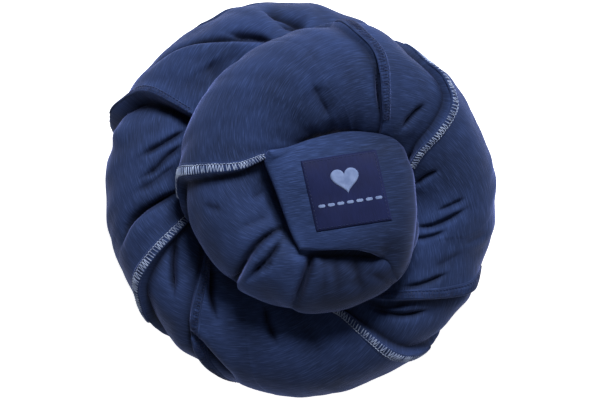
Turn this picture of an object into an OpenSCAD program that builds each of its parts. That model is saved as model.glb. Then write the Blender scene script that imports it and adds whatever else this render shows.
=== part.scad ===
// Stretchy cloth wrap for carrying a baby, twisted into a soft rope and coiled in two turns for storage.
// The cloth is one strip. The lower turn lies on the ground, the upper turn lies on it, and the end with
// the label is spread over the middle. Z is up, and the origin is under the middle of the coil.

/* [Twisted cloth] */
// Width of the twisted cloth where the lower turn lies on the ground
lower_w = 74; // [66:1:75]
// Height of the twisted cloth in the lower turn
lower_h = 60; // [52:1:60]
// Width of the twisted cloth in the upper turn
upper_w = 70; // [62:1:70]
// Height of the twisted cloth in the upper turn
upper_h = 56; // [48:1:56]

/* [Label end] */
// Thickness of the folded layers of the label end
flap_t = 7; // [4:0.5:10]
// Rounding of the corners of the label end
flap_r = 9; // [5:1:12]

/* [Label] */
// Width of the woven label
label_w = 50; // [30:1:56]
// Length of the woven label
label_l = 46; // [30:1:50]
// Thickness of the woven label
label_t = 0.8; // [0.4:0.1:1.5]
// How far the label is turned on the cloth, in degrees
label_turn = 8; // [0:1:15]

/* [Edge stitching] */
// Width of the overlock stitching along both long edges of the strip
edge_w = 4.4; // [3:0.2:6]
// Thickness of the overlocked edge
edge_t = 1; // [0.6:0.1:1]

/* [Hidden] */

cloth_colour = [0.13, 0.17, 0.33];
label_colour = [0.09, 0.11, 0.24];
pale_colour = [0.62, 0.70, 0.84];
navy_colour = [0.07, 0.09, 0.19];

// Middle line of the twisted cloth, clockwise seen from above, from the start under the label end to the
// tucked end: x, y, height of the middle, and the width and height as shares of the turn's own.
route = [
    [34, 16, 78, 0.32, 0.46],
    [53, -6, 80, 0.50, 0.62],
    [45, -31, 79, 0.70, 0.75],
    [21, -42, 76, 0.89, 0.91],
    [-8, -36, 75, 0.97, 1],
    [-32, -18, 75, 0.97, 1],
    [-42, 8, 76, 1, 1],
    [-36, 40, 79, 1, 1],
    [-14, 65, 82, 1, 1],
    [14, 76, 84, 1, 1],
    [42, 74, 81, 1, 1],
    [68, 58, 71, 1, 1],
    [84, 33, 54, 1, 1],
    [90, 5, 39, 1, 1],
    [84, -23, 32, 1, 1],
    [73, -49, 30, 1, 1],
    [52, -73, 30, 1, 1],
    [24, -88, 30, 1, 1],
    [-8, -91, 30, 1, 1],
    [-40, -81, 30, 0.97, 1],
    [-68, -60, 30, 0.95, 1],
    [-85, -33, 30, 0.97, 1],
    [-91, -2, 30, 0.97, 1],
    [-87, 29, 30, 1, 1],
    [-75, 57, 30, 1, 1],
    [-53, 80, 30, 1, 1],
    [-25, 91, 29, 1, 0.96],
    [5, 92.8, 27, 0.92, 0.9],
    [33, 87, 23, 0.78, 0.76],
    [55, 73, 16, 0.54, 0.53],
];
// The cloth leaves the upper turn at the first of these route points, and lies on the ground from the second,
// which is where the two turns meet and bend
leave = 10;
split = 13;
// Gap between the two turns there, as a share of the step between route points
split_gap = 0.03;
last = len(route) - 1;

// Sides round the twisted cloth, and rings from one route point to the next
sides = 28;
steps = 4;
// How much deeper than round the underside is, which flattens it on the ground
sole = 1.08;

// Stretches of the strip's long edges that show: route position, and degrees round the cloth from its top
// towards the outside of the coil.
pale_upper = [[[5.92, 98], [6.2, 74], [6.28, 30], [6.45, -8], [6.9, -38]],
              [[10.4, 100], [10.95, 65], [11.35, 46], [11.72, 18], [12.35, -34]]];
pale_lower = [[[15.85, 98], [16.2, 58], [16.42, 22], [16.75, -20], [17.1, -38]],
              [[20.15, 98], [20.55, 63], [20.9, 33], [21.25, -4], [21.72, -36]]];
navy_upper = [[[9.35, 98], [9.72, 54], [10.05, 29], [10.48, -6], [10.88, -33]]];
navy_lower = [[[14.5, 95], [14.9, 55], [15.4, 10], [16.1, -35]],
              [[19.1, 95], [19.6, 36], [20.1, -8], [20.7, -45]],
              [[23.5, 100], [23.85, 74], [24.02, 25], [24.07, -16]]];
// Rings along each stretch, and how far it stands off the cloth
edge_rings = 26;
edge_lift = 0.5;

// Label end: height of its underside, its corners, and how much smaller its top is
flap_z = 104.5;
flap_corners = [[-27, 27], [6, 42], [57, 42], [75, 22], [75.5, 2], [56, -40], [-2, -38]];
flap_bevel = 2.5;
$fn = 32;

// Label: its middle on the label end, and its stitching
label_at = [29, 4];
stitch_in = 1.6;
stitch_w = 0.8;
stitch_t = 0.4;

// Curve through b and c, with a before and d after; t runs from 0 to 1
function curve(a, b, c, d, t) =
    0.5 * (2 * b + (c - a) * t + (2 * a - 5 * b + 4 * c - d) * t * t
           + (3 * b - 3 * c + d - a) * t * t * t);
// Point of a list carried on in a straight line past both ends
function pick(list, i) =
    i < 0 ? 2 * list[0] - list[1]
    : i > len(list) - 1 ? 2 * list[len(list) - 1] - list[len(list) - 2]
    : list[i];
// Smooth curve through a list, at a fractional place u
function along(list, u) =
    let (i = min(max(floor(u), 0), len(list) - 2))
    curve(pick(list, i - 1), pick(list, i), pick(list, i + 1), pick(list, i + 2), u - i);

function unit(v) = v / norm(v);
function flat_unit(v) = unit([v[0], v[1], 0]);
// Direction towards the outside of the coil, level
function outward(u) =
    let (ahead = along(route, u + 0.01) - along(route, u - 0.01), t = flat_unit(ahead))
    [-t[1], t[0], 0];
// Share of the way down from the upper turn to the lower one: 0 on the upper turn, 1 on the lower
function down(u) = min(max((u - leave) / (split - leave), 0), 1);
function between(from, to, share) = from + (to - from) * share;
// Point on the cloth at route place u and angle a
function skin(u, a) =
    let (p = along(route, u),
         w = between(upper_w, lower_w, down(u)) / 2 * p[3],
         h = between(upper_h, lower_h, down(u)) / 2 * p[4],
         deep = cos(a) < 0 ? between(1, sole, down(u)) : 1,
         q = [p[0], p[1], p[2]] + outward(u) * w * sin(a) + [0, 0, h * deep * cos(a)])
    [q[0], q[1], max(q[2], 0)];

// Solid through rings that all have the same number of points
module loft(rings) {
    n = len(rings[0]);
    walls = [for (i = [0:len(rings) - 2], j = [0:n - 1])
             let (a = i * n + j, b = i * n + (j + 1) % n, c = b + n, d = a + n)
             each [[a, c, b], [a, d, c]]];
    start = [[for (j = [0:n - 1]) j]];
    finish = [[for (j = [n - 1:-1:0]) (len(rings) - 1) * n + j]];
    polyhedron(points = [for (r = rings) each r], faces = concat(walls, start, finish), convexity = 8);
}

// Twisted cloth from route place u0 to u1
module twisted_cloth(u0, u1) {
    count = ceil((u1 - u0) * steps);
    loft([for (i = [0:count])
          [for (j = [0:sides - 1]) skin(u0 + (u1 - u0) * i / count, -360 * j / sides)]]);
}

// Flat ring of a stitched edge at place t of one stretch
function edge_ring(stretch, t) =
    let (p = along(stretch, t), u = p[0], a = p[1],
         ahead = along(stretch, t + 0.02),
         here = skin(u, a),
         up = unit(cross(skin(u + 0.02, a) - here, skin(u, a + 1) - here)),
         side = unit(cross(up, skin(ahead[0], ahead[1]) - here)) * edge_w / 2,
         low = here + up * edge_lift,
         high = low + up * edge_t)
    [low + side, high + side, high - side, low - side];

module stitched_edge(stretches) {
    for (s = stretches)
        loft([for (i = [0:edge_rings]) edge_ring(s, (len(s) - 1) * i / edge_rings)]);
}

module lower_turn() {
    color(cloth_colour) twisted_cloth(split + split_gap, last);
}

module upper_turn() {
    color(cloth_colour) twisted_cloth(0, split);
}

// Corners of the label end as small discs, drawn in by some distance
module flap_outline(draw_in) {
    offset(r = -draw_in) offset(r = flap_r) offset(r = -flap_r) polygon(flap_corners);
}

module end_flap() {
    color(cloth_colour) translate([0, 0, flap_z]) hull() {
        linear_extrude(flap_t / 2) flap_outline(0);
        linear_extrude(flap_t) flap_outline(flap_bevel);
    }
}

module label_sheet(draw_in, t) {
    linear_extrude(t) square([label_w - 2 * draw_in, label_l - 2 * draw_in], center = true);
}

module label_patch() {
    color(label_colour) translate([label_at[0], label_at[1], flap_z + flap_t]) rotate(label_turn)
        label_sheet(0, label_t);
}

module label_stitching() {
    color(pale_colour) translate([label_at[0], label_at[1], flap_z + flap_t + label_t]) rotate(label_turn)
        difference() {
            label_sheet(stitch_in, stitch_t);
            translate([0, 0, -1]) label_sheet(stitch_in + stitch_w, stitch_t + 2);
        }
}

module pale_edge_lower() {
    color(pale_colour) stitched_edge(pale_lower);
}

module pale_edge_upper() {
    color(pale_colour) stitched_edge(pale_upper);
}

module navy_edge_lower() {
    color(navy_colour) stitched_edge(navy_lower);
}

module navy_edge_upper() {
    color(navy_colour) stitched_edge(navy_upper);
}

lower_turn();
upper_turn();
end_flap();
label_patch();
label_stitching();
pale_edge_lower();
pale_edge_upper();
navy_edge_lower();
navy_edge_upper();
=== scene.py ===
import math

import bpy
import numpy as np
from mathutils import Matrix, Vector
from mathutils.bvhtree import BVHTree


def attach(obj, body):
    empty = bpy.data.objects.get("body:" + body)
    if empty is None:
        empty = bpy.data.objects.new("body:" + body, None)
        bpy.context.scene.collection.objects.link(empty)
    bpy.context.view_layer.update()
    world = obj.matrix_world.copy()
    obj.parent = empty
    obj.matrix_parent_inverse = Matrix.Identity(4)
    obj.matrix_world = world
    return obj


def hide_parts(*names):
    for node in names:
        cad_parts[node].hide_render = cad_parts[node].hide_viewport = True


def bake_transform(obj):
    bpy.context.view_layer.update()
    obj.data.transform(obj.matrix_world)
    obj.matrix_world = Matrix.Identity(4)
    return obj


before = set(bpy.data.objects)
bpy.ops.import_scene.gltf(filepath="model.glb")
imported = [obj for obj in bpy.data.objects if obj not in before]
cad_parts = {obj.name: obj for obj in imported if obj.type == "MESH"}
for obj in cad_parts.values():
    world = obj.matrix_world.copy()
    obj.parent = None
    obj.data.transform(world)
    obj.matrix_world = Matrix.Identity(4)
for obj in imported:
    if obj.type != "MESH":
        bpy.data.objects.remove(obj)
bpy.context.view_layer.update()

MM = 0.001  # metres; sizes below are in millimetres unless they say otherwise

# ---- camera

LENS = 320.0
SENSOR = 36.0
FRAME_WIDTH = 390.0  # seen across the view at the height of LOOK_AT
LOOK_AT = (-0.6, -0.6, 30.0)
distance = FRAME_WIDTH * LENS / SENSOR
camera_data = bpy.data.cameras.new("camera")
camera_data.lens = LENS
camera_data.sensor_width = SENSOR
camera_data.clip_end = 20
camera = bpy.data.objects.new("camera", camera_data)
bpy.context.scene.collection.objects.link(camera)
tilt = math.radians(0.4)
camera.location = (
    LOOK_AT[0] * MM,
    (LOOK_AT[1] - distance * math.sin(tilt)) * MM,
    (LOOK_AT[2] + distance * math.cos(tilt)) * MM,
)
camera.rotation_euler = (tilt, 0, 0)
bpy.context.scene.camera = camera

# ---- the rope's route
# x, y, z of the middle in millimetres, then shares of the full width and height.

ROUTE = np.array([
    [34, 16, 78, 0.32, 0.46], [53, -6, 80, 0.50, 0.62], [45, -31, 79, 0.70, 0.75],
    [21, -42, 76, 0.89, 0.91], [-8, -36, 75, 0.97, 1], [-32, -18, 75, 0.97, 1],
    [-42, 8, 76, 1, 1], [-36, 40, 79, 1, 1], [-14, 65, 82, 1, 1], [14, 76, 84, 1, 1],
    [42, 74, 81, 1, 1], [68, 58, 71, 1, 1], [84, 33, 54, 1, 1], [90, 5, 39, 1, 1],
    [84, -23, 32, 1, 1], [73, -49, 30, 1, 1], [52, -73, 30, 1, 1], [24, -88, 30, 1, 1],
    [-8, -91, 30, 1, 1], [-40, -81, 30, 0.97, 1], [-68, -60, 30, 0.95, 1],
    [-85, -33, 30, 0.97, 1], [-91, -2, 30, 0.97, 1], [-87, 29, 30, 1, 1],
    [-75, 57, 30, 1, 1], [-53, 80, 30, 1, 1], [-25, 91, 29, 1, 0.96],
    [5, 92.8, 27, 0.92, 0.9], [33, 87, 23, 0.78, 0.76], [55, 73, 16, 0.54, 0.53],
], float)
LAST = len(ROUTE) - 1
UPPER = (70.0, 56.0)  # width and height of the upper turn
LOWER = (74.0, 60.0)
LEAVE = 10.0  # the upper turn starts to grow to the lower one here
SPLIT = 13.0  # and has grown to it here
SAG = 0.2  # the upper turn sinks this share deeper between the lower ones
DEEP = 1.08  # the lower turn's underside is this much deeper
CROSSING_FROM, CROSSING_TO = 10.55, 15.5
RING = 1.0  # millimetres between rings and between the points of a ring
AROUND = 200


def smooth(x, a, b):
    """0 before a, 1 after b, and a smooth step between."""
    t = np.clip((x - a) / (b - a), 0, 1)
    return t * t * (3 - 2 * t)


def spline(points, u):
    """Catmull-Rom through points, one per whole number of u, with straight ends."""
    points = np.asarray(points, float)
    u = np.asarray(u, float)
    n = len(points)
    ext = np.vstack([2 * points[0] - points[1], points, 2 * points[-1] - points[-2]])
    i = np.clip(np.floor(u).astype(int), 0, n - 2)
    t = (u - i)[..., None]
    a, b, c, d = ext[i], ext[i + 1], ext[i + 2], ext[i + 3]
    return 0.5 * (
        2 * b + (c - a) * t + (2 * a - 5 * b + 4 * c - d) * t**2
        + (3 * b - 3 * c + d - a) * t**3
    )


def resample(points, step):
    """A smooth path through points, with a point about every step of its length."""
    fine = spline(points, np.linspace(0, len(points) - 1, 40 * len(points)))
    length = np.r_[0, np.cumsum(np.linalg.norm(np.diff(fine, axis=0), axis=1))]
    at = np.linspace(0, length[-1], max(2, int(length[-1] / step)))
    return np.stack([np.interp(at, length, fine[:, k]) for k in range(fine.shape[1])], 1)


def lattice(p, seed):
    """Smooth noise from -1 to 1 at the points p, one unit to a cell."""
    table = np.random.RandomState(seed).rand(32, 32, 32) * 2 - 1
    cell = np.floor(p).astype(int)
    f = p - cell
    f = f * f * (3 - 2 * f)
    total = 0
    for corner in range(8):
        o = np.array([corner & 1, corner >> 1 & 1, corner >> 2 & 1])
        k = (cell + o) % 32
        w = np.prod(np.where(o == 1, f, 1 - f), axis=-1)
        total = total + w * table[k[..., 0], k[..., 1], k[..., 2]]
    return total


fine_u = np.linspace(0, LAST, 6000)
fine_p = spline(ROUTE[:, :3], fine_u)
fine_s = np.r_[0, np.cumsum(np.linalg.norm(np.diff(fine_p, axis=0), axis=1))]
rope_length = fine_s[-1]


def to_s(u):
    return np.interp(u, fine_u, fine_s)


def to_u(s):
    return np.interp(s, fine_s, fine_u)


ring_s = np.arange(0, rope_length, RING)
for place in (CROSSING_FROM, CROSSING_TO):
    ring_s[np.argmin(abs(ring_s - to_s(place)))] = to_s(place)
ring_u = to_u(ring_s)
angle = np.radians(np.linspace(-180, 180, AROUND + 1))  # 0 is the top, 90 the outer side


def rope_frame(u):
    """Middle, travel and outward directions, half width and height, and deepening at u."""
    r = spline(ROUTE, u)
    ahead = spline(ROUTE[:, :2], np.minimum(u + 0.01, LAST))
    behind = spline(ROUTE[:, :2], np.maximum(u - 0.01, 0))
    t = ahead - behind
    t /= np.linalg.norm(t, axis=-1, keepdims=True)
    outward = np.stack([-t[..., 1], t[..., 0], 0 * t[..., 0]], -1)
    down = np.clip((u - LEAVE) / (SPLIT - LEAVE), 0, 1)
    width = UPPER[0] + (LOWER[0] - UPPER[0]) * down
    height = UPPER[1] + (LOWER[1] - UPPER[1]) * down
    deep = 1 + (DEEP - 1) * down + SAG * smooth(u, 3, 4.5) * (1 - smooth(u, 9.5, 11.5))
    return r[..., :3], t, outward, width / 2 * r[..., 3], height / 2 * r[..., 4], deep


middle, travel, outward, half_w, half_h, deep = rope_frame(ring_u)
ring_count = len(ring_u)
sin_a, cos_a = np.sin(angle), np.cos(angle)
under = np.where(cos_a < 0, 1, 0)
aside = half_w[:, None] * sin_a
upward = half_h[:, None] * cos_a * (1 + (deep[:, None] - 1) * under)
base = (
    middle[:, None]
    + outward[:, None] * aside[..., None]
    + np.array([0, 0, 1.0]) * upward[..., None]
)


def grid_normals(p):
    """Unit normals of the rope's grid, whose first and last columns are the same line."""
    along = np.gradient(p, axis=0)
    around = np.empty_like(p)
    around[:, 1:-1] = p[:, 2:] - p[:, :-2]
    around[:, 0] = around[:, -1] = p[:, 1] - p[:, -2]
    n = np.cross(around, along)
    return n / np.maximum(np.linalg.norm(n, axis=-1, keepdims=True), 1e-9)


base_normal = grid_normals(base)
if (base_normal * (base - middle[:, None])).sum() < 0:
    base_normal = -base_normal

# ---- the cloth's edges
# Each visible stretch of an edge: place along the route and angle round the rope, in
# degrees, at the points that a smooth line runs through.

ARC = 0.61  # millimetres round the rope per degree
HEMS = {
    "a": [(5.85, 92), (6.14, 76), (6.21, 40), (6.32, 0), (6.52, -20), (6.78, -35)],
    "b": [(10.3, 108), (10.7, 74), (11.08, 56), (11.42, 40), (11.7, 11), (11.94, -15), (12.3, -33)],
    "c": [(20.1, 95), (20.62, 51), (20.95, 18), (21.28, -11), (21.65, -35)],
    "d": [(15.75, 100), (16.16, 52), (16.43, 9), (16.7, -20), (17.0, -34)],
    "e": [(9.3, 98), (9.58, 58), (9.97, 32), (10.4, -5), (10.8, -31)],
    "f": [(23.35, 102), (23.72, 70), (23.94, 38), (24.02, -10)],
    "g": [(18.7, 114), (19.24, 69), (19.62, 34), (20.16, -14), (20.74, -40)],
    "h": [(14.4, 98), (14.82, 61), (15.3, 19), (16.05, -22)],
}


def edge_line(name, step):
    """A stretch of edge as places along the rope and round it, in even steps of millimetres."""
    line = np.array(HEMS[name], float)
    return resample(np.stack([to_s(line[:, 0]), line[:, 1] * ARC], 1), step)


def wound(stretches, before, after):
    """One edge unwound: its stretches a turn apart, joined under the rope.

    before and after are the hidden places where it starts and ends.
    """
    points = [(to_s(before[0]), before[1])]
    for turn, name in enumerate(stretches):
        kept = []
        for s, arc in edge_line(name, 4.0)[::-1]:
            if not kept or arc / ARC > kept[-1][1]:
                kept.append((s, arc / ARC))
        points += [(s, a - 360 * turn) for s, a in reversed(kept)]
    points.append((to_s(after[0]), after[1] - 360 * (len(stretches) - 1)))
    return np.array(points, float)


PALE = wound("abdc", (2.4, 330), (25.2, -265))
NAVY = wound("ehgf", (5.2, 262), (27.4, -235))


def along_edge(edge, s, a):
    """Distance along the rope to the nearest winding of an edge, ahead of it positive."""
    best = np.full(a.shape, 1e3)
    order = np.argsort(edge[:, 1])
    angles, places = edge[order, 1], edge[order, 0]
    for turn in range(-5, 3):
        unwound = a + 360 * turn
        d = s - np.interp(unwound, angles, places)
        inside = (unwound > angles[0]) & (unwound < angles[-1])
        best = np.where(inside & (abs(d) < abs(best)), d, best)
    return best


S = np.broadcast_to(ring_s[:, None], base.shape[:2])
U = np.broadcast_to(ring_u[:, None], base.shape[:2])
A = np.broadcast_to(np.degrees(angle)[None], base.shape[:2])
X, Y = base[..., 0], base[..., 1]
C = np.broadcast_to(cos_a[None], base.shape[:2])


def layer(d, rise, drop, rise_reach, drop_reach, ramp=2.6):
    """Height across a cloth edge: the upper layer where d is positive, a groove before it.

    rise and drop are heights, and the reaches are how fast they fade away from the edge.
    """
    upper = rise * np.exp(-np.maximum(d, 0) / rise_reach)
    lower = -drop * np.exp(np.minimum(d + ramp, 0) / drop_reach)
    w = smooth(d, -ramp, 0)
    return lower * (1 - w) + upper * w


pale_d = along_edge(PALE, S, A)
navy_d = along_edge(NAVY, S, A)
# The navy edge's layer lies ahead of it on the first stretch, behind it on the next ones,
# and ahead of it again at the deep lip of the last one.
first_edge = 1 - smooth(U, 11.8, 12.6)
lip = smooth(U, 21.8, 22.6)
height = layer(pale_d, rise=2.4, drop=3.4, rise_reach=34, drop_reach=13)
height += first_edge * layer(navy_d, rise=1.6, drop=2.2, rise_reach=26, drop_reach=10)
height += (1 - lip) * (1 - first_edge) * layer(
    -navy_d, rise=2.0, drop=2.4, rise_reach=26, drop_reach=12)
height += lip * layer(navy_d, rise=3.2, drop=9.5, rise_reach=24, drop_reach=15, ramp=3.0)

# ---- folds
# Free folds run round the rope with the edges; they are soft on top and deeper elsewhere.

PITCH = 0.36  # millimetres along the rope per degree round it
TURN = 360 * PITCH


def fold_noise(size, length, seed):
    """Noise that runs round the rope with its edges, size across and length along the folds."""
    phase = 2 * np.pi * (S + PITCH * A) / TURN
    r = TURN / (2 * np.pi * size)
    return lattice(np.stack([r * np.cos(phase), r * np.sin(phase), S / length], -1) + 9.3, seed)


def pillows(size, length, seed, sharp=0.12):
    """Rounded swellings with narrow creases between them."""
    n = fold_noise(size, length, seed)
    return np.sqrt(n * n + sharp * sharp) - 0.35


side = 0.45 * (1 - smooth(C, 0.15, 0.75)) + 0.55 * (1 - smooth(C, -0.75, -0.15))
height = height + (0.6 + 2.6 * side) * pillows(size=15, length=80, seed=3)
height += (0.35 + 1.2 * side) * fold_noise(size=8, length=34, seed=5)
height += 1.1 * fold_noise(size=34, length=90, seed=8)

# Folds of the upper side, in plan: the stretch of the route they belong to, depth, width,
# rise of the cloth on the left and on the right of the line, and the line itself.
FOLDS = [
    # under the flap's free edges
    (3.2, 7, 3.2, 7.0, 0.0, 0.0, [(-25, 28), (-20.5, 11), (-16, -2), (-8.5, -23), (-2, -36)]),
    (1.2, 4.2, 2.0, 4.0, 0.2, 0.0, [(-4, -36), (12, -35), (30, -35), (46, -37), (54, -39)]),
    # inner turn, round the flap
    (7, 10.5, 1.5, 5.0, 0.8, 0.9, [(7, 73), (11, 64), (16, 55), (19, 50)]),
    (8.6, 10.6, 1.9, 1.5, 0.3, 0.3, [(46, 92), (49, 84), (49.5, 68), (50, 60), (50.5, 52)]),
    (9, 12.2, 1.8, 2.8, 0.7, 0.6, [(80, 60), (73, 53), (64, 43)]),
    (11, 13.6, 1.3, 1.9, 0.7, 0.4, [(88, 18), (79, 13.5), (72, 8)]),
    (11.8, 14.4, 1.0, 1.8, 0.6, 0.4, [(106, 0), (96, -5), (88, -8)]),
    (11.8, 14.6, 1.6, 1.9, 1.0, 0.7,
     [(107, -6), (98.5, -11.5), (89.5, -16), (81, -18.5), (72, -18)]),
    (12.5, 14.9, 1.2, 1.9, 0.6, 0.5, [(93, -20.5), (83, -25), (71, -26)]),
    (13, 15.6, 1.3, 1.9, 0.5, 0.7, [(95, -48), (83, -53.5), (75, -56), (64, -57)]),
    (4.8, 6.3, 0.6, 3.6, 0.5, 0.4, [(-63, -5), (-57, -6), (-51, -8)]),
    (4.6, 6.2, 0.7, 4.0, 0.5, 0.5, [(-31, 0), (-25, 1), (-18, 5)]),
    (4.4, 6.0, 0.8, 4.4, 0.4, 0.4, [(-40, -20), (-29, -15), (-16, -8)]),
    (3.6, 6.0, 3.6, 2.8, 0.6, 3.0,
     [(-51, -66), (-45, -56), (-39, -46), (-33, -36), (-25, -27), (-9, -14)]),
    (3.4, 5.4, 1.2, 1.6, 0.6, 0.4, [(-25, -48), (-21, -45), (-18, -40)]),
    (3.0, 5.2, 3.0, 2.4, 0.4, 1.6, [(-35, -53), (-29, -47), (-20, -38), (-12, -26)]),
    (2.2, 4.6, 3.4, 3.0, 1.4, 2.2, [(-6, -71), (-2, -64), (3, -50), (6, -40), (6, -32)]),
    (1.6, 3.6, 0.7, 4.4, 0.4, 0.4, [(14, -64), (15, -50), (14, -34)]),
    (1.6, 3.6, 0.6, 4.4, 0.4, 0.4, [(25, -64), (23, -50), (22, -34)]),
    (1.2, 3.4, 0.8, 4.4, 0.5, 0.5, [(40, -60), (36, -48), (34, -34)]),
    (0.8, 3.0, 0.5, 3.6, 0.4, 0.4, [(61, -55), (53, -52), (44, -48)]),
    # top of the lower turn
    (25, 28.5, 3.4, 4.2, 1.2, 0.6, [(-25, 123), (-14, 121), (-5, 117), (5, 110)]),
    (25, 28.5, 1.8, 3.2, 0.6, 0.6, [(-14, 114), (-4, 112), (4, 108)]),
    (24.6, 27, 3.2, 2.6, 0.6, 1.6, [(-47, 107), (-38, 106), (-29, 105), (-18, 101)]),
    (23.6, 27, 2.0, 2.2, 0.1, 3.2,
     [(-99, 84), (-92, 91), (-80, 98), (-66, 102), (-45, 103), (-18, 102)]),
    (23.8, 26, 1.4, 7.0, 0.6, 0.6, [(-61, 88), (-57, 81), (-52, 76)]),
    (22.4, 24.4, 2.1, 2.5, 1.2, 1.2, [(-105, 27), (-98, 31), (-88, 36), (-73, 44)]),
    (22.0, 24.0, 1.9, 2.6, 0.9, 1.1, [(-104, 13), (-94, 19), (-86, 27), (-75, 35)]),
    (21.8, 23.4, 1.4, 4.0, 0.6, 0.8, [(-108, 4), (-98, 9), (-88, 16), (-80, 22)]),
    (20.6, 22.9, 4.2, 2.6, 2.8, 0.4,
     [(-76, 7), (-80, 4), (-94, -3), (-106, -10), (-113, -18), (-116, -29)]),
    (19.6, 21.7, 3.0, 2.8, 0.8, 1.0, [(-79, -25), (-81, -33), (-83, -45), (-83, -63)]),
    (19.0, 21.0, 2.6, 2.2, 0.8, 0.8, [(-59, -36), (-57, -46), (-58, -61), (-55, -77)]),
    (17.4, 19.2, 1.9, 3.0, 0.7, 0.9, [(-24, -66), (-23, -71), (-21, -81), (-16, -93)]),
    (17.6, 20.2, 3.0, 2.6, 2.4, 0.2,
     [(-72, -82), (-68, -90), (-61, -100), (-52, -110), (-43, -118)]),
    (16.8, 18.6, 0.6, 6.0, 0.5, 0.5, [(-2, -78), (8, -90), (12, -104)]),
    (14.2, 15.9, 0.4, 3.0, 0.4, 0.4, [(104, -34), (95, -40), (86, -44)]),
    (14.8, 16.8, 2.4, 2.2, 0.8, 0.7, [(84, -73), (70, -76), (58, -74.5), (44, -69)]),
    (14.6, 16.6, 1.4, 2.0, 0.5, 0.5, [(72, -68), (56, -70), (42, -66)]),
    (13.2, 15.2, 0.4, 3.0, 0.4, 0.4, [(121, -20), (114, -26), (104, -30)]),
    (26.2, 28.8, 1.6, 4.0, 0.6, 0.6, [(34, 112), (44, 104), (52, 96)]),
]


def line_distance(x, y, line):
    """Signed distance to a line in plan, left of it positive, and the share run along it."""
    best, where = np.full(x.shape, 1e3), np.zeros(x.shape)
    n = len(line) - 1
    for i in range(n):
        a, b = line[i], line[i + 1]
        d = b - a
        t = np.clip(((x - a[0]) * d[0] + (y - a[1]) * d[1]) / (d @ d), 0, 1)
        px, py = x - a[0] - t * d[0], y - a[1] - t * d[1]
        r = np.hypot(px, py)
        signed = np.where(d[0] * py - d[1] * px >= 0, r, -r)
        nearer = r < abs(best)
        best = np.where(nearer, signed, best)
        where = np.where(nearer, (i + t) / n, where)
    return best, where


CUT, SWELL = 2.5, 1.7  # how much of each fold's depth and rise is used
REACH = 10.0  # millimetres over which the cloth beside a fold comes back down
FADE = 0.35  # share of a route step over which a fold ends beyond its stretch
top = smooth(C, -0.2, 0.2)
for first, last, depth, width, left, right, line in FOLDS:
    rows = np.where((ring_u > first - 0.4) & (ring_u < last + 0.4))[0]
    at = slice(rows[0], rows[-1] + 1)
    d, t = line_distance(X[at], Y[at], resample(line, 5.0))
    fade = np.minimum(smooth(t, -0.02, 0.3), 1 - smooth(t, 0.7, 1.02))
    fade = 0.12 + 0.88 * fade
    fade *= smooth(U[at], first - FADE, first + 0.1)
    fade *= 1 - smooth(U[at], last - 0.1, last + FADE)
    open_w = width * (0.55 + 0.6 * np.sin(np.pi * np.clip(t, 0, 1)))
    crisp = np.exp(-(abs(d) / (0.62 * open_w)) ** 1.15)  # the sharp middle, weaker in wide folds
    share = np.clip(1.05 - 0.11 * width, 0.3, 0.8)
    cut = share * crisp + (1 - share) * np.exp(-(d / (2.2 * open_w)) ** 2)
    swell = np.where(d > 0, left, right) * np.exp(-abs(d) / REACH)
    swell *= 1 - np.exp(-(d / width) ** 2)
    swell *= np.exp(-(np.maximum(abs(d) - REACH, 0) / REACH) ** 2)
    height[at] += top[at] * fade * (SWELL * swell - CUT * depth * cut)

height[:, 0] = height[:, -1] = (height[:, 0] + height[:, -1]) / 2
DEEPEST, HIGHEST, SUNK = -11, 4.6, 0.6
height = np.clip(height, DEEPEST, HIGHEST) - SUNK
# The unevenness of the outer side: direction from the middle and half width, both in degrees,
# and rise. The first is nearly the same all round.
OUTLINE = [
    (0, 400, -0.8), (50, 8, -4.8), (29, 13, -2.0), (119, 8, -3.4), (155.5, 4.2, 5.0),
    (160.5, 3.4, 5.0), (170, 6, 2.6), (210, 9, -2.6), (230, 5, 2.4), (292, 14, -1.4),
    (330, 6, 5.8), (318, 6, 2.6), (350, 6, 2.4), (70, 6, 2.0), (85, 6, 1.4),
]
bearing = np.degrees(np.arctan2(Y, X))
outer_side = smooth(A, 40, 75) * (1 - smooth(A, 115, 150)) * smooth(U, 9.3, 10.3)
for direction, spread, rise in OUTLINE:
    off = (bearing - direction + 180) % 360 - 180
    height += rise * outer_side * np.exp(-(off / spread) ** 2)
# The start of the rope rises on its outer side, under the flap's lower right corner.
SHOULDER = 3.2
shoulder = smooth(U, 0.5, 1.2) * (1 - smooth(U, 1.9, 2.7))
height += SHOULDER * (shoulder * smooth(A, 5, 40) * (1 - smooth(A, 80, 110)))

skin = base + base_normal * height[..., None]
GIVE, SETTLED = 2.2, 0.18  # the floor presses the lowest cloth flat
skin[..., 2] = 0.5 * (skin[..., 2] + np.sqrt(skin[..., 2] ** 2 + GIVE**2)) - SETTLED
skin_normal = grid_normals(skin)
if (skin_normal * base_normal).sum() < 0:
    skin_normal = -skin_normal


def blurred(h, times):
    """The values of the rope's grid, smoothed a number of times."""
    for _ in range(times):
        g = h.copy()
        g[1:-1] = (h[2:] + 2 * h[1:-1] + h[:-2]) / 4
        g[:, 1:-1] = (g[:, 2:] + 2 * g[:, 1:-1] + g[:, :-2]) / 4
        g[:, 0] = g[:, -1] = (g[:, 0] + g[:, -1]) / 2
        h = g
    return h


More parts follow.
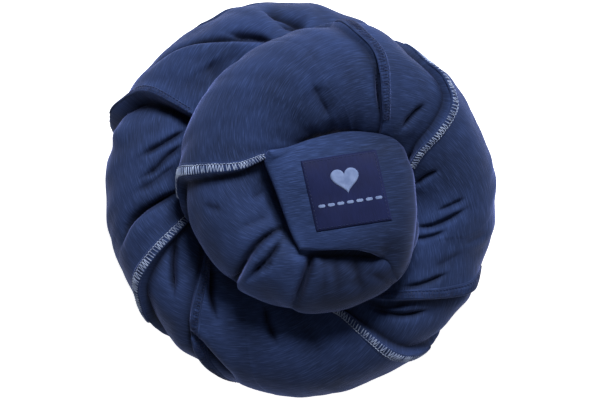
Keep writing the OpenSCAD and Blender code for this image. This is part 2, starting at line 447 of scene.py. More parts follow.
# Painted shade of the cloth: 0 on open cloth, 1 at the bottom of a fold, and a little below 0,
# painted lighter, where the cloth stands out. More painted shade lies on the narrow start of the
# rope, right of the crease under the flap, and on the upper turn's inner wall.
FOLD_DEPTH, OPEN_LIGHT = 2.0, -0.3
START_SHADE, WALL_SHADE = 0.62, 0.5
CREASE_X, CREASE_Y, CREASE_LEAN = -6, -71, 0.31
painted_shade = np.clip((blurred(height, 24) - height) / FOLD_DEPTH, OPEN_LIGHT, 1)
beyond_crease = smooth(X - CREASE_X - CREASE_LEAN * (Y - CREASE_Y), 0, 3.5)
painted_shade += START_SHADE * beyond_crease * smooth(U, 0.8, 1.4) * (1 - smooth(U, 4.0, 4.6))
painted_shade += WALL_SHADE * (smooth(-A, 30, 80) * smooth(U, 4.5, 5.5) * (1 - smooth(U, 10.2, 11)))
painted_shade = blurred(painted_shade, 1)


def on_skin(u, a, lift=0.0):
    """Point and normal of the cloth at a place along the route and an angle in degrees."""
    row = np.interp(to_s(u), ring_s, np.arange(ring_count))
    column = (np.asarray(a, float) + 180) % 360 / 360 * AROUND
    i = np.clip(row.astype(int), 0, ring_count - 2)
    j = np.clip(column.astype(int), 0, AROUND - 1)
    f, g = (row - i)[..., None], (column - j)[..., None]

    def mix(q):
        first = q[i, j] * (1 - g) + q[i, j + 1] * g
        return first * (1 - f) + (q[i + 1, j] * (1 - g) + q[i + 1, j + 1] * g) * f

    n = mix(skin_normal)
    n /= np.linalg.norm(n, axis=-1, keepdims=True)
    return mix(skin) + n * lift, n


# ---- meshes


def add_mesh(name, points, faces, material, body, uv=None, normals=None, shade=None):
    """A smooth mesh from points in millimetres; uv is one pair per face corner."""
    mesh = bpy.data.meshes.new(name)
    mesh.from_pydata((np.asarray(points) * MM).tolist(), [], [list(map(int, f)) for f in faces])
    mesh.shade_smooth()
    if uv is not None:
        layer_uv = mesh.uv_layers.new(name="cloth")
        layer_uv.data.foreach_set("uv", np.asarray(uv, np.float32).ravel())
    if normals is not None:
        mesh.normals_split_custom_set_from_vertices(np.asarray(normals).tolist())
    # shade, when given, is painted shade and light per point, stored as an attribute that the
    # cloth's material darkens or lightens by
    if shade is not None:
        mesh.attributes.new("painted_shade", "FLOAT", "POINT").data.foreach_set(
            "value", np.asarray(shade, np.float32))
    mesh.materials.append(material)
    piece = bpy.data.objects.new(name, mesh)
    bpy.context.scene.collection.objects.link(piece)
    if body:
        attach(piece, body)
    return piece


def grid_faces(rows, columns, closed=False, start=0):
    """Quads of a grid of points; closed joins the last column to the first."""
    last = columns if closed else columns - 1
    i, j = np.meshgrid(np.arange(rows - 1), np.arange(last), indexing="ij")
    k = (j + 1) % columns
    near, far = i * columns, (i + 1) * columns
    return np.stack([near + j, near + k, far + k, far + j], -1).reshape(-1, 4) + start


THREAD_TIP = 0.45  # share of a thread's radius at its two ends


def tubes(paths, radius, sides=6):
    """Points and faces of round threads along paths, with rounded-off ends."""
    points, faces, start = [], [], 0
    ring = np.linspace(0, 2 * np.pi, sides, endpoint=False)
    for path, normal in paths:
        t = np.gradient(path, axis=0)
        t /= np.maximum(np.linalg.norm(t, axis=1, keepdims=True), 1e-9)
        across = np.cross(normal, t)
        across /= np.maximum(np.linalg.norm(across, axis=1, keepdims=True), 1e-9)
        up = np.cross(t, across)
        r = np.full(len(path), radius)
        r[0] = r[-1] = radius * THREAD_TIP
        circle = across[:, None] * np.cos(ring)[None, :, None]
        circle = circle + up[:, None] * np.sin(ring)[None, :, None]
        points.append((path[:, None] + circle * r[:, None, None]).reshape(-1, 3))
        faces += grid_faces(len(path), sides, True, start).tolist()
        faces.append([start + k for k in range(sides)][::-1])
        faces.append([start + (len(path) - 1) * sides + k for k in range(sides)])
        start += len(path) * sides
    return np.vstack(points), faces


# ---- materials


def linear(r, g, b):
    """A colour given as 0-255 display values, as the shader's linear one."""
    out = []
    for v in (r / 255, g / 255, b / 255):
        out.append(v / 12.92 if v <= 0.04045 else ((v + 0.055) / 1.055) ** 2.4)
    return (*out, 1)


class Nodes:
    """Small helper for a material's node tree."""

    def __init__(self, name):
        self.material = bpy.data.materials.new(name)
        self.material.use_nodes = True
        self.tree = self.material.node_tree
        self.shader = self.tree.nodes["Principled BSDF"]

    def add(self, kind, inputs=None, **settings):
        node = self.tree.nodes.new(kind)
        for key, value in settings.items():
            setattr(node, key, value)
        for key, value in (inputs or {}).items():
            self.put(node.inputs[key], value)
        return node

    def put(self, socket, value):
        if isinstance(value, bpy.types.NodeSocket):
            self.tree.links.new(value, socket)
        else:
            socket.default_value = value

    def set(self, **values):
        for key, value in values.items():
            self.put(self.shader.inputs[key.replace("_", " ")], value)

    def noise(self, vector, scale, detail=2.0, roughness=0.5, distortion=0.0):
        node = self.add("ShaderNodeTexNoise", {
            "Vector": vector, "Scale": scale, "Detail": detail, "Roughness": roughness,
            "Distortion": distortion})
        return node.outputs["Fac"]

    def stretch(self, vector, x, y, z=1.0):
        node = self.add("ShaderNodeVectorMath", {0: vector, 1: (x, y, z)}, operation="MULTIPLY")
        return node.outputs[0]

    def curve(self, value, low, high, to_low=0.0, to_high=1.0):
        node = self.add("ShaderNodeMapRange", {
            "Value": value, "From Min": low, "From Max": high, "To Min": to_low, "To Max": to_high})
        return node.outputs["Result"]

    def math(self, operation, a, b):
        return self.add("ShaderNodeMath", {0: a, 1: b}, operation=operation).outputs[0]

    def mix(self, factor, a, b):
        node = self.add("ShaderNodeMix", data_type="RGBA")
        self.put(node.inputs[0], factor)
        self.put(node.inputs[6], a)
        self.put(node.inputs[7], b)
        return node.outputs[2]

    def bump(self, height, strength, distance):
        values = {"Height": height, "Strength": strength, "Distance": distance}
        return self.add("ShaderNodeBump", values).outputs["Normal"]


def jersey_material(name, dark, light, streak):
    """Slub jersey: fine ribs of the knit, uneven lighter yarns along it, and painted shade from a
    point attribute.
    """
    n = Nodes(name)
    uv = n.add("ShaderNodeUVMap", uv_map="cloth").outputs["UV"]  # one unit is 100 mm
    yarn = n.noise(n.stretch(uv, 13, 170), 1.0, 2.0, 0.55, 0.15)
    slub = n.noise(n.stretch(uv, 12, 140), 1.0, 2.0, 0.5, 0.1)
    patch = n.noise(uv, 2.6, 3.0, 0.6)
    weave = n.add("ShaderNodeTexWave", {
        "Vector": uv, "Scale": 38.0, "Distortion": 1.2, "Detail": 2.0,
        "Detail Scale": 2.0}, bands_direction="Y").outputs["Fac"]
    shade_attribute = n.add("ShaderNodeAttribute", attribute_name="painted_shade").outputs["Fac"]
    base_colour = n.mix(n.curve(patch, 0.32, 0.68), dark, light)
    lines = n.curve(slub, 0.48, 0.78)
    coloured = n.mix(n.math("MULTIPLY", lines, 0.62), base_colour, streak)
    contrast = n.curve(yarn, 0.3, 0.7, 0.78, 1.2)
    # Painted shade and light: the colour is darkened by the per-point painted shade in folds and
    # shaded places, and lightened on open cloth.
    shade = n.math("MULTIPLY", contrast, n.curve(shade_attribute, -0.6, 1.0, 1.29, 0.28))
    tone = n.add("ShaderNodeVectorMath", {0: coloured}, operation="SCALE")
    n.put(tone.inputs["Scale"], shade)
    relief = n.math("ADD", n.math("MULTIPLY", yarn, 0.6), n.math("MULTIPLY", weave, 0.35))
    relief = n.math("ADD", relief, n.math("MULTIPLY", lines, 0.5))
    n.set(
        Base_Color=tone.outputs[0], Roughness=n.curve(patch, 0.3, 0.7, 0.8, 0.94),
        Normal=n.bump(relief, 0.4, 0.0004),
        Sheen_Weight=0.4, Sheen_Roughness=0.3, Sheen_Tint=linear(140, 158, 240),
        Specular_IOR_Level=0.15,
    )
    return n.material


def satin_material():
    """Woven label: close warp ribs with a slight lustre."""
    n = Nodes("label_satin")
    uv = n.add("ShaderNodeUVMap", uv_map="cloth").outputs["UV"]
    warp = n.add("ShaderNodeTexWave", {"Vector": uv, "Scale": 60.0, "Distortion": 0.6},
                 bands_direction="X").outputs["Fac"]
    cloud = n.noise(uv, 6.0, 3.0)
    thread = n.noise(n.stretch(uv, 140, 14), 1.0, 2.0)
    colour = n.mix(n.curve(cloud, 0.3, 0.7), linear(20, 26, 58), linear(24, 31, 68))
    tone = n.add("ShaderNodeVectorMath", {0: colour}, operation="SCALE")
    n.put(tone.inputs["Scale"], n.curve(thread, 0.3, 0.7, 0.88, 1.14))
    n.set(
        Base_Color=tone.outputs[0], Roughness=n.curve(cloud, 0.3, 0.7, 0.6, 0.74),
        Normal=n.bump(n.math("ADD", warp, thread), 0.3, 0.0002),
        Sheen_Weight=0.04, Sheen_Tint=linear(150, 155, 235), Specular_IOR_Level=0.1,
    )
    return n.material


def thread_material(name, dark, light, twist=900.0):
    """Spun thread: a fine twist and small changes of tone."""
    n = Nodes(name)
    place = n.add("ShaderNodeTexCoord").outputs["Object"]
    spin = n.noise(place, twist, 2.0)
    slow = n.noise(place, 160.0, 2.0)
    colour = n.mix(n.curve(slow, 0.35, 0.65), dark, light)
    n.set(
        Base_Color=colour, Roughness=n.curve(spin, 0.3, 0.7, 0.5, 0.7),
        Normal=n.bump(spin, 0.4, 0.0002), Sheen_Weight=0.08, Specular_IOR_Level=0.12,
    )
    return n.material


NAVY_DARK, NAVY_LIGHT, NAVY_STREAK = linear(24, 37, 67), linear(35, 50, 88), linear(54, 72, 118)
jersey = jersey_material("jersey", NAVY_DARK, NAVY_LIGHT, NAVY_STREAK)
satin = satin_material()
pale_thread = thread_material("pale_thread", linear(92, 106, 140), linear(146, 160, 190))
navy_thread = thread_material("navy_thread", linear(20, 30, 60), linear(28, 40, 78))
motif_thread = thread_material("motif_thread", linear(92, 108, 146), linear(112, 128, 166), 1400.0)

# ---- the rope's three cloths

# Streaks of the knit run across the edges, so the cloth's two directions turn with them.
KNIT_COS, KNIT_SIN = 0.88, 0.47
knit_along = KNIT_COS * S + KNIT_SIN * ARC * A
knit_across = KNIT_SIN * S - KNIT_COS * ARC * A
LOWEST = 0.3  # no closing ring goes lower than this
FACES_OUT = (
    np.cross(skin[:-1, 1:] - skin[:-1, :-1], skin[1:, :-1] - skin[:-1, :-1])
    * skin_normal[:-1, :-1]
).sum() > 0  # whether grid_faces turns its faces outward on the rope


def rope_piece(name, first, last, body, start_shape, end_shape):
    """The rope's skin between two places, closed by rings of a given share and distance."""
    rows = np.arange(np.argmin(abs(ring_u - first)), np.argmin(abs(ring_u - last)) + 1)
    parts = [
        (skin[r, :-1], painted_shade[r, :-1], skin_normal[r, :-1],
         np.stack([knit_along[r], knit_across[r]], -1) / 100)
        for r in rows
    ]
    for shape, row, sign in ((start_shape, rows[0], -1), (end_shape, rows[-1], 1)):
        ring = skin[row, :-1]
        centre = middle[row]
        forward = np.array([*travel[row], 0.0]) * sign
        for share, move in shape:
            extra = centre + (ring - centre) * share + forward * move
            extra[:, 2] = np.maximum(extra[:, 2], LOWEST)
            extra_map = np.stack([knit_along[row] + sign * move, knit_across[row]], -1) / 100
            n = skin_normal[row, :-1] * share + forward * (1 - share)
            n /= np.linalg.norm(n, axis=1, keepdims=True)
            part = (extra, painted_shade[row, :-1], n, extra_map)
            parts.insert(0 if sign < 0 else len(parts), part)
    rings, shades, normals, maps = zip(*parts)
    count = len(rings)
    points = np.vstack([*rings, rings[0].mean(0), rings[-1].mean(0)])
    normal = np.vstack([*normals, normals[0].mean(0), normals[-1].mean(0)])
    quads = grid_faces(count, AROUND, True)
    i, j = np.meshgrid(np.arange(count - 1), np.arange(AROUND), indexing="ij")
    m = np.array(maps)
    uv = np.stack([m[i, j], m[i, j + 1], m[i + 1, j + 1], m[i + 1, j]], 2).reshape(-1, 4, 2)
    if not FACES_OUT:
        quads, uv = quads[:, ::-1], uv[:, ::-1]
    faces = quads.tolist()
    corner = list(uv.reshape(-1, 2))
    last_ring = (count - 1) * AROUND
    start_fan, end_fan = count * AROUND, count * AROUND + 1
    for k in range(AROUND):
        a, b = (k, (k + 1) % AROUND) if FACES_OUT else ((k + 1) % AROUND, k)
        faces += [[start_fan, b, a], [end_fan, last_ring + a, last_ring + b]]
        corner += [m[0, k]] * 3 + [m[-1, k]] * 3
    # painted shade per point, carried from the rope's grid, with none at the two closing centres
    shade = np.r_[np.concatenate(shades), 0, 0]
    piece = add_mesh(name, points, faces, jersey, body, np.array(corner), normal, shade)
    return piece


HIDDEN = [(0.55, -3.0), (0.2, -4.0)]  # closes a piece inside its neighbour
turned = np.radians([20, 40, 58, 72, 82])
ROUND = [(math.cos(t), 14.0 * math.sin(t)) for t in turned]
BLUNT = [(math.cos(t), 7.0 * math.sin(t)) for t in turned]
upper_cloth = rope_piece("upper_turn_cloth", 0, CROSSING_FROM, "upper_coil", BLUNT, HIDDEN)
crossing = rope_piece("crossing_cloth", CROSSING_FROM, CROSSING_TO, None, HIDDEN, HIDDEN)
lower_cloth = rope_piece("lower_turn_cloth", CROSSING_TO, LAST, "lower_coil", HIDDEN, ROUND)
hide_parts("upper_turn")
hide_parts("lower_turn")
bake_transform(crossing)

# ---- the end flap
# Rows run from the top edge to the bottom one, columns from the free left edge over the
# right shoulder; each point is on the middle of the folded cloth.

FLAP = np.array([
    [(-20.5, 30.5, 99), (-7, 33, 99), (9, 38, 96), (28, 42, 92), (44, 41.6, 92), (55, 38.8, 92),
     (60, 33.8, 88), (62, 30, 81)],
    [(-23.6, 23.5, 100), (-6, 25, 103), (12, 28, 104), (29, 30.5, 103.5), (45, 30.5, 103.5),
     (57.5, 28.5, 102), (63.5, 25.5, 96), (65, 23.5, 85)],
    [(-19, 11.5, 101), (-2, 13.5, 106), (16, 15, 107), (33, 16, 107.5), (48, 16, 107.5),
     (60.5, 15, 104.5), (67, 14, 97), (69, 12, 85)],
    [(-14.6, 0, 101), (2, 0, 106), (19, 0, 107.5), (35, 0, 108), (50, 0, 108), (62, 0, 105),
     (68.5, -1, 97), (70.3, -2, 84)],
    [(-10.2, -12.5, 101), (6, -13, 105.5), (22, -13, 107.5), (36, -13, 108), (50, -14, 108),
     (61.5, -15, 105), (68.3, -16, 97), (70, -17, 84)],
    [(-5.6, -24.5, 101), (9, -25.5, 104.5), (24, -25, 106.5), (37, -25.5, 107), (49, -26.5, 106.5),
     (59, -30, 103), (65, -34, 96), (67, -36, 83)],
    [(-1, -33, 99.5), (11, -33, 102.5), (25, -32.2, 103.5), (36, -32.6, 104), (46, -35.6, 103),
     (54, -40.5, 99), (58.5, -48, 91), (60.5, -52, 80)],
], float)
FLAP_THICK = 7.6
FLAP_LONG, FLAP_WIDE = 70, 108  # about its size, for the distance to its edges
FLAP_ROUND = 4.5  # its edges are rounded over this distance
FLAP_ROWS, FLAP_COLUMNS = 76, 92


def eased(n):
    """0 to 1 in n steps, close together at both ends."""
    return (1 - np.cos(np.linspace(0, np.pi, n))) / 2


row_at = 0.55 * eased(FLAP_ROWS) + 0.45 * np.linspace(0, 1, FLAP_ROWS)
column_at = 0.55 * eased(FLAP_COLUMNS) + 0.45 * np.linspace(0, 1, FLAP_COLUMNS)
net_rows, net_columns = FLAP.shape[:2]
by_row = spline(FLAP.reshape(net_rows, -1), row_at * (net_rows - 1))
by_row = by_row.reshape(FLAP_ROWS, net_columns, 3).transpose(1, 0, 2)
flap = spline(by_row.reshape(net_columns, -1), column_at * (net_columns - 1))
flap = flap.reshape(FLAP_COLUMNS, FLAP_ROWS, 3).transpose(1, 0, 2)
v, w = np.meshgrid(row_at, column_at, indexing="ij")
under_flap = ring_u < 12.2
upper_tree = BVHTree.FromPolygons(
    [Vector(p) for p in skin[under_flap].reshape(-1, 3)],
    grid_faces(int(under_flap.sum()), AROUND + 1).tolist(),
)


def ground(x, y, tree, top_z=140.0):
    """Height of the cloth under a point, or nothing."""
    hit = tree.ray_cast(Vector((x, y, top_z)), Vector((0, 0, -1)))
    return hit[0].z if hit[0] is not None else -1e3


# The free part rests on the cloth below it, and the lower right corner is tucked into it.
rest_z = np.array([[ground(p[0], p[1], upper_tree) for p in row] for row in flap])
free_part = 1 - smooth(w, 0.72, 0.86)
lifted = np.maximum(flap[..., 2], rest_z + FLAP_THICK * 0.42)
need = free_part * (lifted - flap[..., 2])
for _ in range(60):
    wide = np.pad(need, 1, mode="edge")
    need = (wide[2:, 1:-1] + wide[:-2, 1:-1] + wide[1:-1, 2:] + wide[1:-1, :-2]) / 4
flap[..., 2] += need
tuck = smooth(v, 0.74, 1.0) * smooth(w, 0.54, 0.68)
flap[..., 2] += tuck * (np.maximum(rest_z - 2.5, 78) - flap[..., 2])
for _ in range(6):
    flap[1:-1, 1:-1, 2] += 0.5 * (
        (flap[2:, 1:-1, 2] + flap[:-2, 1:-1, 2] + flap[1:-1, 2:, 2] + flap[1:-1, :-2, 2]) / 4
        - flap[1:-1, 1:-1, 2]
    )
along = np.gradient(flap, axis=1)
across = np.gradient(flap, axis=0)
flap_normal = np.cross(across, along)
flap_normal /= np.linalg.norm(flap_normal, axis=-1, keepdims=True)
if flap_normal[..., 2].mean() < 0:
    flap_normal = -flap_normal
edge_gap = np.minimum(
    np.minimum(v * FLAP_LONG, (1 - v) * FLAP_LONG), np.minimum(w * FLAP_WIDE, (1 - w) * FLAP_WIDE))
bulge = np.sqrt(np.clip(1 - (1 - np.clip(edge_gap / FLAP_ROUND, 0, 1)) ** 2, 0, 1))
waves = lattice(np.stack([flap[..., 0] / 21, flap[..., 1] / 16, 0 * v + 3.1], -1), 21)
waves += 0.5 * lattice(np.stack([flap[..., 0] / 11, flap[..., 1] / 8, 0 * v + 5.7], -1), 22)
puff = bulge * (1 + 0.1 * waves)
flap_top = flap + flap_normal * (puff * FLAP_THICK / 2 + 0.35 * waves * bulge)[..., None]
flap_under = flap - flap_normal * (puff * FLAP_THICK / 2)[..., None]

# The label's middle and its two directions in plan, a little out of square as the cloth gives.
LABEL_AT = np.array([28.8, 4.8])
LABEL_SIDE = np.array([0.988, 0.152])
LABEL_UP = np.array([-0.222, 0.975])
LABEL_SIZE = (48.5, 46.0)


def flap_mesh():
    """Points, faces and cloth map of the flap, its upper and lower sides joined at the rim."""
    index = np.arange(FLAP_ROWS * FLAP_COLUMNS).reshape(FLAP_ROWS, FLAP_COLUMNS)
    below = index + index.size
    below[[0, -1]] = index[[0, -1]]
    below[:, [0, -1]] = index[:, [0, -1]]
    knit = np.stack([
        flap[..., 0] * LABEL_SIDE[0] + flap[..., 1] * LABEL_SIDE[1],
        -flap[..., 0] * LABEL_SIDE[1] + flap[..., 1] * LABEL_SIDE[0],
    ], -1).reshape(-1, 2) / 100 + 7.0  # away from the rope's part of the map
    grid = grid_faces(FLAP_ROWS, FLAP_COLUMNS)
    quads = np.vstack([grid[:, ::-1], below.ravel()[grid]])
    corners = knit[np.vstack([grid[:, ::-1], grid])].reshape(-1, 2)
    points = np.vstack([flap_top.reshape(-1, 3), flap_under.reshape(-1, 3)])
    used, quads = np.unique(quads, return_inverse=True)
    return points[used], quads.reshape(-1, 4).tolist(), corners


points, faces, uv = flap_mesh()
# Painted light and shade: the flap's colour is painted lighter at the free left edge and darker
# over the right shoulder, as the light falls on it.
flap_painted_light = np.interp(points[:, 0], [-20, 10, 70], [-0.6, -0.25, 0.5])
end_flap = add_mesh("end_flap_cloth", points, faces, jersey, None, uv, shade=flap_painted_light)
flap_tree = BVHTree.FromPolygons([Vector(p) for p in points], faces)
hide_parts("end_flap")
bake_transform(end_flap)

# ---- the label

n_label = 44  # points along each side
LABEL_THICK = 0.75
half_l, half_b = LABEL_SIZE[0] / 2, LABEL_SIZE[1] / 2
ps, qs = np.linspace(-half_l, half_l, n_label), np.linspace(-half_b, half_b, n_label)
label_grid = np.array([
    [[*xy, ground(*xy, flap_tree) + LABEL_THICK]
     for xy in LABEL_AT + np.outer(ps, LABEL_SIDE) + LABEL_UP * q]
    for q in qs
])
z = label_grid[..., 2]
for _ in range(8):
    z[1:-1, 1:-1] = (z[2:, 1:-1] + z[:-2, 1:-1] + z[1:-1, 2:] + z[1:-1, :-2]) / 4
pg, qg = np.meshgrid(ps, qs)
near_edge = np.minimum(half_l - abs(pg), half_b - abs(qg))
label_grid[..., 2] -= 0.35 * np.exp(-near_edge / 0.9)
label_uv = np.stack([pg, qg], -1) / 100
label_top = label_grid.reshape(-1, 3)
label_bottom = label_top - np.array([0, 0, LABEL_THICK])
quads = grid_faces(n_label, n_label)
loop = np.r_[  # the grid's outer points, in order
    np.arange(n_label), np.arange(2, n_label + 1) * n_label - 1,
    (n_label * n_label - 2) - np.arange(n_label - 1), np.arange(n_label - 2, 0, -1) * n_label,
]
offset = n_label * n_label
rim = np.array([[a, a + offset, b + offset, b] for a, b in zip(loop, np.roll(loop, -1))])
label_faces = np.vstack([quads, quads[:, ::-1] + offset, rim])
both_uv = np.tile(label_uv.reshape(-1, 2), (2, 1))  # for the upper and the lower side
woven_label = add_mesh(
    "woven_label", np.vstack([label_top, label_bottom]), label_faces.tolist(), satin, "label_end",
    both_uv[label_faces].reshape(-1, 2),
)
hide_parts("label_patch")


def on_label(p, q, lift):
    """Points on the label's face, from the same grid as the label."""
    p, q = np.asarray(p, float), np.asarray(q, float)
    i = np.clip((q + half_b) / (2 * half_b) * (n_label - 1), 0, n_label - 1.001)
    j = np.clip((p + half_l) / (2 * half_l) * (n_label - 1), 0, n_label - 1.001)
    a, b = i.astype(int), j.astype(int)
    f, g = (i - a)[..., None], (j - b)[..., None]
    low = label_grid[a, b] * (1 - g) + label_grid[a, b + 1] * g
    high = label_grid[a + 1, b] * (1 - g) + label_grid[a + 1, b + 1] * g
    return low * (1 - f) + high * f + np.array([0, 0, lift])


def dashes(corners, stitch, gap, lift):
    """Short threads along a closed line on the label."""
    paths = []
    arch = lift * np.array([-0.6, 0.7, 1, 0.7, -0.6])
    for a, b in zip(corners, corners[1:] + corners[:1]):
        a, b = np.array(a, float), np.array(b, float)
        length = np.linalg.norm(b - a)
        count = int(length / (stitch + gap))
        for k in range(count):
            t = np.linspace(k / count, (k + stitch / (stitch + gap)) / count, 5)
            line = a + (b - a) * t[:, None]
            path = on_label(line[:, 0], line[:, 1], 0)
            path[:, 2] += arch
            paths.append((path, np.tile([0, 0, 1.0], (5, 1))))
    return paths


inset = 1.5  # of the stitches from the label's edge
box = [(-half_l + inset, -half_b + inset), (half_l - inset, -half_b + inset),
       (half_l - inset, half_b - inset), (-half_l + inset, half_b - inset)]
points, faces = tubes(dashes(box, stitch=1.7, gap=0.7, lift=0.22), 0.2)
label_stitches = add_mesh("label_stitches", points, faces, navy_thread, "label_end")
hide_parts("label_stitching")


def patch(outline, centre, rings=7, lift=0.22):
    """A thin raised shape on the label, filled from its centre out."""
    outline = np.asarray(outline, float)
    centre = np.asarray(centre, float)
    count = len(outline)
    levels = np.linspace(0.12, 1, rings)
    pts = []
    for k in levels:
        p = centre + (outline - centre) * k
        pts.append(on_label(p[:, 0], p[:, 1], lift if k < 1 else lift * 0.35))
    pts.append(on_label(outline[:, 0], outline[:, 1], -0.1))
    all_points = np.vstack(pts + [on_label(*centre, lift)[None]])
    quads = grid_faces(rings + 1, count, True).tolist()
    fan = [[(rings + 1) * count, k, (k + 1) % count] for k in range(count)]
    return all_points, quads, fan


def shapes_piece(name, outlines, material):
    """A piece of raised shapes on the label, each an outline with its centre."""
    points, faces, start = [], [], 0
    for outline, centre in outlines:
        pts, quads, fan = patch(outline, centre)
        area = 0.5 * sum(
            a[0] * b[1] - b[0] * a[1] for a, b in zip(outline, np.roll(outline, -1, axis=0))
        )
        anticlockwise = area > 0
        for f in quads:
            faces.append([start + k for k in (f[::-1] if anticlockwise else f)])
        for f in fan:
            faces.append([start + k for k in (f if anticlockwise else f[::-1])])
        points.append(pts)
        start += len(pts)
    return add_mesh(name, np.vstack(points), faces, material, "label_end")


HEART_SCALE, HEART_AT = 0.56, (1.0, 7.5)
t = np.linspace(0, 2 * np.pi, 56, endpoint=False)
heart = np.stack([
    16 * np.sin(t) ** 3,
    13 * np.cos(t) - 5 * np.cos(2 * t) - 2 * np.cos(3 * t) - np.cos(4 * t),
], 1) * HEART_SCALE + np.array(HEART_AT)
shapes_piece("label_heart", [(heart, heart.mean(0))], motif_thread)


def bar(x, y, length, width):
    """Outline of a dash with round ends."""
    turn = np.linspace(-np.pi / 2, np.pi / 2, 7)
    r, flat = width / 2, length / 2 - width / 2
    right = np.stack([x + flat + r * np.cos(turn), y + r * np.sin(turn)], 1)
    left = np.stack([x - flat - r * np.cos(turn), y - r * np.sin(turn)], 1)
    return np.vstack([right, left])


DASH_COUNT, DASH_START, DASH_PITCH, DASH_Y = 7, -17.4, 6.1, -7.5
dash_places = [(DASH_START + DASH_PITCH * k, DASH_Y) for k in range(DASH_COUNT)]
bars = [(bar(*place, length=4.5, width=2.0), place) for place in dash_places]
shapes_piece("label_dashes", bars, motif_thread)

# ---- sewn edges
# A band of folded cloth lies along each visible stretch, with overlock threads on it.

THREADS = {"pale": (0.31, pale_thread), "navy": (0.17, navy_thread)}  # radius and material
HEM_STEP = 0.55  # millimetres between the points along a band
STITCH_PITCH = 2.05
NEEDLE_AT, FREE_EDGE = 4.1, -0.45  # the seam's two sides, from the cloth's edge inwards
INSIDE = 1.2  # nearer to the edge than this, a point is carried on straight from inside it
TAPER = {"a": 9.0}  # millimetres over which a band grows narrow at its inner end
NARROW = {"f": 0.6}  # share of the full width
HALF_SEEN = 0.45  # share of stitches whose leg back to the needle line lies hidden
rng = np.random.RandomState(7)


def narrowing(name, left_over):
    """Share of a band's width, by the millimetres left to its inner end."""
    if name in TAPER:
        return 0.3 + 0.7 * smooth(left_over, -1, TAPER[name])
    return NARROW.get(name, 1.0) + 0 * left_over


def offset_points(even, side, distance, lift):
    """Points beside the line, distance millimetres into the upper layer."""
    t = np.gradient(even, axis=0)
    t /= np.linalg.norm(t, axis=1, keepdims=True)
    normal = side * np.stack([-t[:, 1], t[:, 0]], 1)
    moved = even + normal * np.asarray(distance)[..., None]
    return on_skin(to_u(moved[:, 0]), moved[:, 1] / ARC, lift)


def hem_band(name, side):
    """Grid of the folded band along a stretch; side is where the upper layer lies."""
    even = edge_line(name, HEM_STEP)
    # distance from the edge and height over the cloth, from the free edge inwards
    profile = [(-0.25, -0.9), (-0.55, 0.1), (-0.2, 0.75), (0.8, 0.95), (2.2, 0.9), (3.4, 0.75),
               (3.95, 0.35), (4.45, 0.6), (5.2, 0.35), (5.9, -0.3)]
    n = len(even)
    ends = np.minimum(smooth(np.arange(n), 0, 8), smooth(n - 1 - np.arange(n), 0, 8))
    columns = []
    share = narrowing(name, (n - 1 - np.arange(n)) * HEM_STEP)
    for distance, lift in profile:
        q, nn = offset_points(even, side, max(distance, INSIDE) * share, 0.0)
        if distance < INSIDE:
            r, _ = offset_points(even, side, (INSIDE + 1) * share, 0.0)
            q = q + (q - r) * (INSIDE - distance)
        columns.append(q + nn * (lift * ends - 0.9 * (1 - ends))[:, None])
    columns.append(offset_points(even, side, 2.5 * share, -1.4)[0])
    return np.stack(columns, 1)


def band_mesh(grids):
    """Points, faces and cloth map of closed bands, with capped ends."""
    points, faces, uv, start = [], [], [], 0
    for grid in grids:
        rows, columns = grid.shape[:2]
        quads = grid_faces(rows, columns, True)
        t = np.cross(grid[5, 3] - grid[5, 2], grid[6, 2] - grid[5, 2])
        centre = grid[5].mean(0)
        if (t * (grid[5, 2] - centre)).sum() > 0:
            quads = quads[:, ::-1]
            caps = [list(range(columns)), [(rows - 1) * columns + k for k in range(columns)][::-1]]
        else:
            caps = [list(range(columns))[::-1], [(rows - 1) * columns + k for k in range(columns)]]
        flat = np.meshgrid(np.arange(rows) * HEM_STEP, np.arange(columns) * 0.6, indexing="ij")
        flat = np.stack(flat, -1).reshape(-1, 2) / 100
        uv += [flat[quads].reshape(-1, 2)] + [flat[c] for c in caps]
        faces += [(q + start).tolist() for q in quads] + [[k + start for k in c] for c in caps]
        points.append(grid.reshape(-1, 3))
        start += rows * columns
    return np.vstack(points), faces, np.vstack(uv)


def overlock(name, side):
    """Threads of one stretch: a needle line, and legs to the free edge and back."""
    even = edge_line(name, HEM_STEP)
    length = np.r_[0, np.cumsum(np.linalg.norm(np.diff(even, axis=0), axis=1))]
    pitch = STITCH_PITCH
    count = int((length[-1] - 3) / pitch)
    paths = []

    def along(places, distance, lift):
        before, pts, after = (
            np.stack([np.interp(x, length, even[:, k]) for k in (0, 1)], 1)
            for x in (places - 0.6, places, places + 0.6)
        )
        t = after - before
        t /= np.linalg.norm(t, axis=1, keepdims=True)
        normal = side * np.stack([-t[:, 1], t[:, 0]], 1)
        distance = np.asarray(distance, float)
        inside = np.maximum(distance, INSIDE)

        def lay(d):
            m = pts + normal * d[:, None]
            return on_skin(to_u(m[:, 0]), m[:, 1] / ARC, 0.0)

        q, nn = lay(inside)
        r, _ = lay(inside + 1.0)
        q = q + (q - r) * (inside - distance)[:, None]
        return q + nn * np.asarray(lift)[:, None], nn

    for k in range(count):
        at = 1.5 + k * pitch + rng.uniform(-0.12, 0.12)
        shift = rng.uniform(0.2, 0.5) * pitch
        needle = NEEDLE_AT + rng.uniform(-0.12, 0.12)
        needle *= float(narrowing(name, length[-1] - at))
        share = np.linspace(0, 1, 7)
        arch = np.array([0.55, 1.05, 1.15, 1.15, 1.1, 0.75, -0.1])
        out = along(at + shift * share, needle + (FREE_EDGE - needle) * share, arch)
        back = along(at + shift + (pitch - shift) * 0.9 * share,
                     FREE_EDGE + (needle - FREE_EDGE) * share, arch[::-1])
        line = np.linspace(0.06, 0.9, 5)
        low_arch = np.array([0.3, 0.75, 0.85, 0.75, 0.3])
        seam = along(at + pitch * line, np.full(5, needle + 0.25), low_arch)
        paths += [out, seam] if rng.uniform() < HALF_SEEN else [out, back, seam]
    return paths


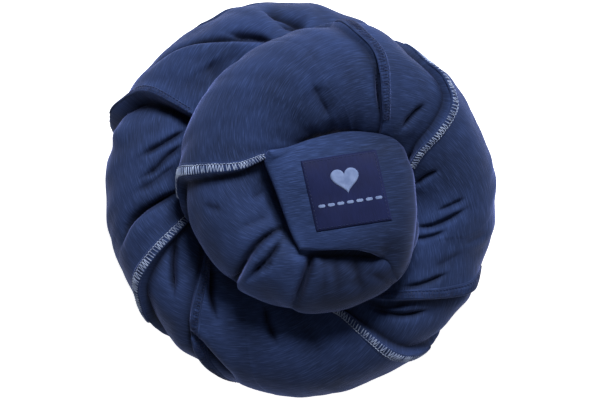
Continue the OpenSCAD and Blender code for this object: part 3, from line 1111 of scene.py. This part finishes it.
# The side of each stretch's line on which its upper layer lies.
UPPER_SIDE = {"a": 1, "b": 1, "c": 1, "d": 1, "e": 1, "f": 1, "g": -1, "h": -1}
for colour, names, turn in (
    ("pale", "ab", "upper"), ("pale", "cd", "lower"),
    ("navy", "e", "upper"), ("navy", "hgf", "lower"),
):
    radius, material = THREADS[colour]
    body = f"{turn}_coil"
    points, faces, uv = band_mesh([hem_band(n, UPPER_SIDE[n]) for n in names])
    add_mesh(f"{colour}_hem_{turn}", points, faces, jersey, body, uv)
    points, faces = tubes([p for n in names for p in overlock(n, UPPER_SIDE[n])], radius)
    stitches = add_mesh(
        f"{colour}_stitches_{turn}", points, faces, material, body)
    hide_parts(f"{colour}_edge_{turn}")

# ---- studio

floor_mesh = bpy.data.meshes.new("floor")
floor_mesh.from_pydata([(-3, -3, 0), (3, -3, 0), (3, 3, 0), (-3, 3, 0)], [], [(0, 1, 2, 3)])
floor_nodes = Nodes("floor")
floor_nodes.set(Base_Color=(0.9, 0.9, 0.905, 1), Roughness=0.9,
                Emission_Color=(1, 1, 1, 1), Emission_Strength=0.95)
floor_mesh.materials.append(floor_nodes.material)
floor = bpy.data.objects.new("floor", floor_mesh)
floor.location = (0, 0, -0.0005)
bpy.context.scene.collection.objects.link(floor)


def area_light(name, location, size, power, target=(0, 0, 0.05)):
    data = bpy.data.lights.new(name, "AREA")
    data.shape = "DISK"
    data.size = size
    data.energy = power
    light = bpy.data.objects.new(name, data)
    light.location = location
    light.rotation_euler = (Vector(target) - Vector(location)).to_track_quat("-Z", "Y").to_euler()
    bpy.context.scene.collection.objects.link(light)


area_light("key", (0.3, 1.46, 1.62), 0.85, 81.0)
area_light("fill", (0.8, -1.0, 1.7), 1.2, 5.0)
world = bpy.data.worlds.new("world")
world.use_nodes = True
world.node_tree.nodes["Background"].inputs["Color"].default_value = (1, 1, 1, 1)
world.node_tree.nodes["Background"].inputs["Strength"].default_value = 0.08
bpy.context.scene.world = world
bpy.context.scene.view_settings.view_transform = "Standard"
